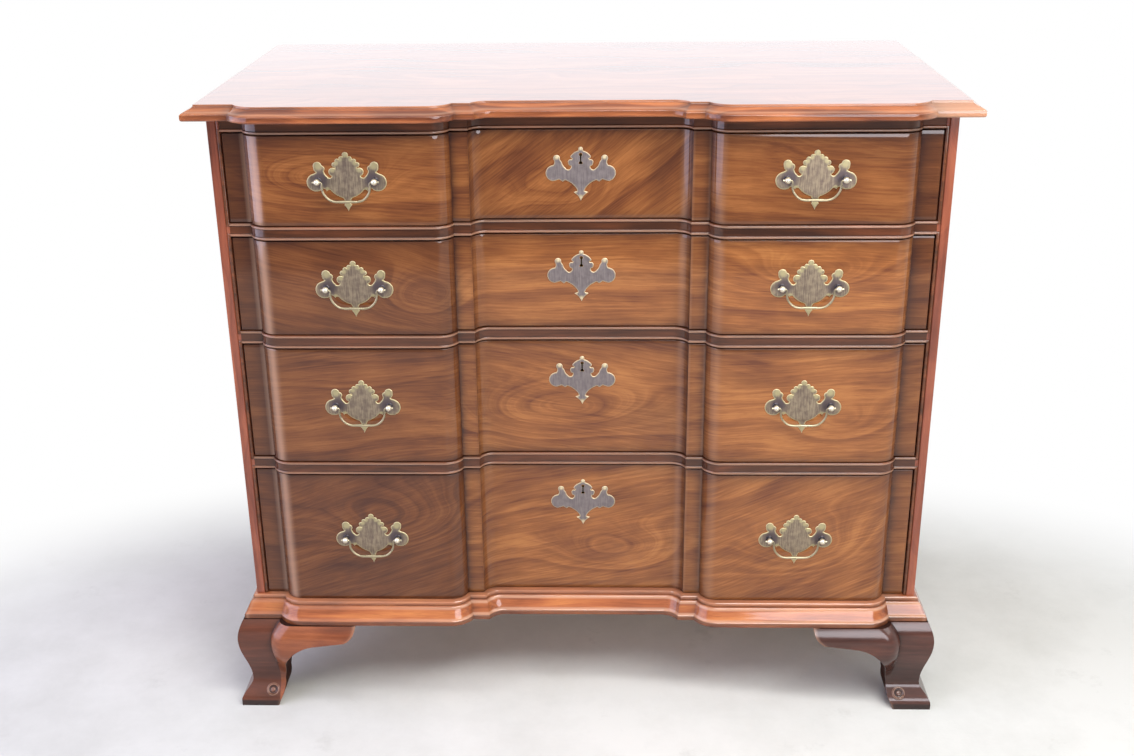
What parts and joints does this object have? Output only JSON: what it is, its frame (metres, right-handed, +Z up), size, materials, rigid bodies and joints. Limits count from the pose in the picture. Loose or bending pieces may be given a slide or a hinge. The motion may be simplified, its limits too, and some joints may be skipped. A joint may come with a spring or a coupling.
{
  "type": "block front chest of drawers",
  "caption": "Block front chest of drawers on ogee bracket feet, with graduated drawers, swinging brass bail pulls and keyhole escutcheons.",
  "frame": {"origin": "on the floor, under the middle of the bounding box", "axes": "+Z up, +X to the right as seen from the front, the drawer fronts face -Y"},
  "size_m": [1.055, 0.5476, 0.924],
  "materials": {
    "mahogany_case": "gloss",
    "mahogany_top": "gloss",
    "mahogany_front": "gloss",
    "mahogany_moulding": "gloss",
    "secondary_wood": "matte",
    "plate_brass": "aged",
    "post_brass": "aged",
    "bail_brass": "aged",
    "lock_brass": "satin"
  },
  "bodies": {
    "case": {"top_board": "mahogany_top", "case_side_left": "mahogany_case", "case_side_right": "mahogany_case", "back_panel": "secondary_wood", "case_bottom": "secondary_wood", "drawer_rail_1": "mahogany_case", "drawer_rail_2": "mahogany_case", "drawer_rail_3": "mahogany_case", "top_rail": "mahogany_case", "drawer_runners": "secondary_wood", "dust_boards": "secondary_wood", "drawer_stops": "secondary_wood", "base_moulding_front": "mahogany_moulding", "base_moulding_left": "mahogany_moulding", "base_moulding_right": "mahogany_moulding", "foot_front_left": "mahogany_moulding", "foot_front_right": "mahogany_moulding", "foot_back_left": "mahogany_moulding", "foot_back_right": "mahogany_moulding", "foot_blocks": "secondary_wood"},
    "drawer_1": {"drawer_1_front": "mahogany_front", "drawer_1_sides": "secondary_wood", "drawer_1_back": "secondary_wood", "drawer_1_bottom": "secondary_wood", "drawer_1_lock_case": "lock_brass", "drawer_1_brass_plates": "plate_brass", "drawer_1_pull_posts": "post_brass"},
    "drawer_1_lock_bolt": {"drawer_1_lock_bolt": "lock_brass"},
    "drawer_1_bail_left": {"drawer_1_bail_left": "bail_brass"},
    "drawer_1_bail_right": {"drawer_1_bail_right": "bail_brass"},
    "drawer_2": {"drawer_2_front": "mahogany_front", "drawer_2_sides": "secondary_wood", "drawer_2_back": "secondary_wood", "drawer_2_bottom": "secondary_wood", "drawer_2_lock_case": "lock_brass", "drawer_2_brass_plates": "plate_brass", "drawer_2_pull_posts": "post_brass"},
    "drawer_2_lock_bolt": {"drawer_2_lock_bolt": "lock_brass"},
    "drawer_2_bail_left": {"drawer_2_bail_left": "bail_brass"},
    "drawer_2_bail_right": {"drawer_2_bail_right": "bail_brass"},
    "drawer_3": {"drawer_3_front": "mahogany_front", "drawer_3_sides": "secondary_wood", "drawer_3_back": "secondary_wood", "drawer_3_bottom": "secondary_wood", "drawer_3_lock_case": "lock_brass", "drawer_3_brass_plates": "plate_brass", "drawer_3_pull_posts": "post_brass"},
    "drawer_3_lock_bolt": {"drawer_3_lock_bolt": "lock_brass"},
    "drawer_3_bail_left": {"drawer_3_bail_left": "bail_brass"},
    "drawer_3_bail_right": {"drawer_3_bail_right": "bail_brass"},
    "drawer_4": {"drawer_4_front": "mahogany_front", "drawer_4_sides": "secondary_wood", "drawer_4_back": "secondary_wood", "drawer_4_bottom": "secondary_wood", "drawer_4_lock_case": "lock_brass", "drawer_4_brass_plates": "plate_brass", "drawer_4_pull_posts": "post_brass"},
    "drawer_4_lock_bolt": {"drawer_4_lock_bolt": "lock_brass"},
    "drawer_4_bail_left": {"drawer_4_bail_left": "bail_brass"},
    "drawer_4_bail_right": {"drawer_4_bail_right": "bail_brass"}
  },
  "joints": [
    {"name": "drawer_1_slide", "type": "slide", "parent": "case", "child": "drawer_1", "axis": [0, -1, 0], "range_m": [0, 0.36]},
    {"name": "drawer_1_lock_bolt_slide", "type": "slide", "parent": "drawer_1", "child": "drawer_1_lock_bolt", "axis": [0, 0, 1], "range_m": [0, 0.007]},
    {"name": "drawer_1_bail_left_swing", "type": "hinge", "parent": "drawer_1", "child": "drawer_1_bail_left", "pos_m": [-0.3105, -0.25095, 0.823], "axis": [-1, 0, 0], "range_deg": [-15, 195]},
    {"name": "drawer_1_bail_right_swing", "type": "hinge", "parent": "drawer_1", "child": "drawer_1_bail_right", "pos_m": [0.3105, -0.25095, 0.823], "axis": [-1, 0, 0], "range_deg": [-15, 195]},
    {"name": "drawer_2_slide", "type": "slide", "parent": "case", "child": "drawer_2", "axis": [0, -1, 0], "range_m": [0, 0.36]},
    {"name": "drawer_2_lock_bolt_slide", "type": "slide", "parent": "drawer_2", "child": "drawer_2_lock_bolt", "axis": [0, 0, 1], "range_m": [0, 0.007]},
    {"name": "drawer_2_bail_left_swing", "type": "hinge", "parent": "drawer_2", "child": "drawer_2_bail_left", "pos_m": [-0.3105, -0.25095, 0.673], "axis": [-1, 0, 0], "range_deg": [-15, 195]},
    {"name": "drawer_2_bail_right_swing", "type": "hinge", "parent": "drawer_2", "child": "drawer_2_bail_right", "pos_m": [0.3105, -0.25095, 0.673], "axis": [-1, 0, 0], "range_deg": [-15, 195]},
    {"name": "drawer_3_slide", "type": "slide", "parent": "case", "child": "drawer_3", "axis": [0, -1, 0], "range_m": [0, 0.36]},
    {"name": "drawer_3_lock_bolt_slide", "type": "slide", "parent": "drawer_3", "child": "drawer_3_lock_bolt", "axis": [0, 0, 1], "range_m": [0, 0.007]},
    {"name": "drawer_3_bail_left_swing", "type": "hinge", "parent": "drawer_3", "child": "drawer_3_bail_left", "pos_m": [-0.3105, -0.25095, 0.49775], "axis": [-1, 0, 0], "range_deg": [-15, 195]},
    {"name": "drawer_3_bail_right_swing", "type": "hinge", "parent": "drawer_3", "child": "drawer_3_bail_right", "pos_m": [0.3105, -0.25095, 0.49775], "axis": [-1, 0, 0], "range_deg": [-15, 195]},
    {"name": "drawer_4_slide", "type": "slide", "parent": "case", "child": "drawer_4", "axis": [0, -1, 0], "range_m": [0, 0.36]},
    {"name": "drawer_4_lock_bolt_slide", "type": "slide", "parent": "drawer_4", "child": "drawer_4_lock_bolt", "axis": [0, 0, 1], "range_m": [0, 0.007]},
    {"name": "drawer_4_bail_left_swing", "type": "hinge", "parent": "drawer_4", "child": "drawer_4_bail_left", "pos_m": [-0.3105, -0.25095, 0.2865], "axis": [-1, 0, 0], "range_deg": [-15, 195]},
    {"name": "drawer_4_bail_right_swing", "type": "hinge", "parent": "drawer_4", "child": "drawer_4_bail_right", "pos_m": [0.3105, -0.25095, 0.2865], "axis": [-1, 0, 0], "range_deg": [-15, 195]}
  ]
}
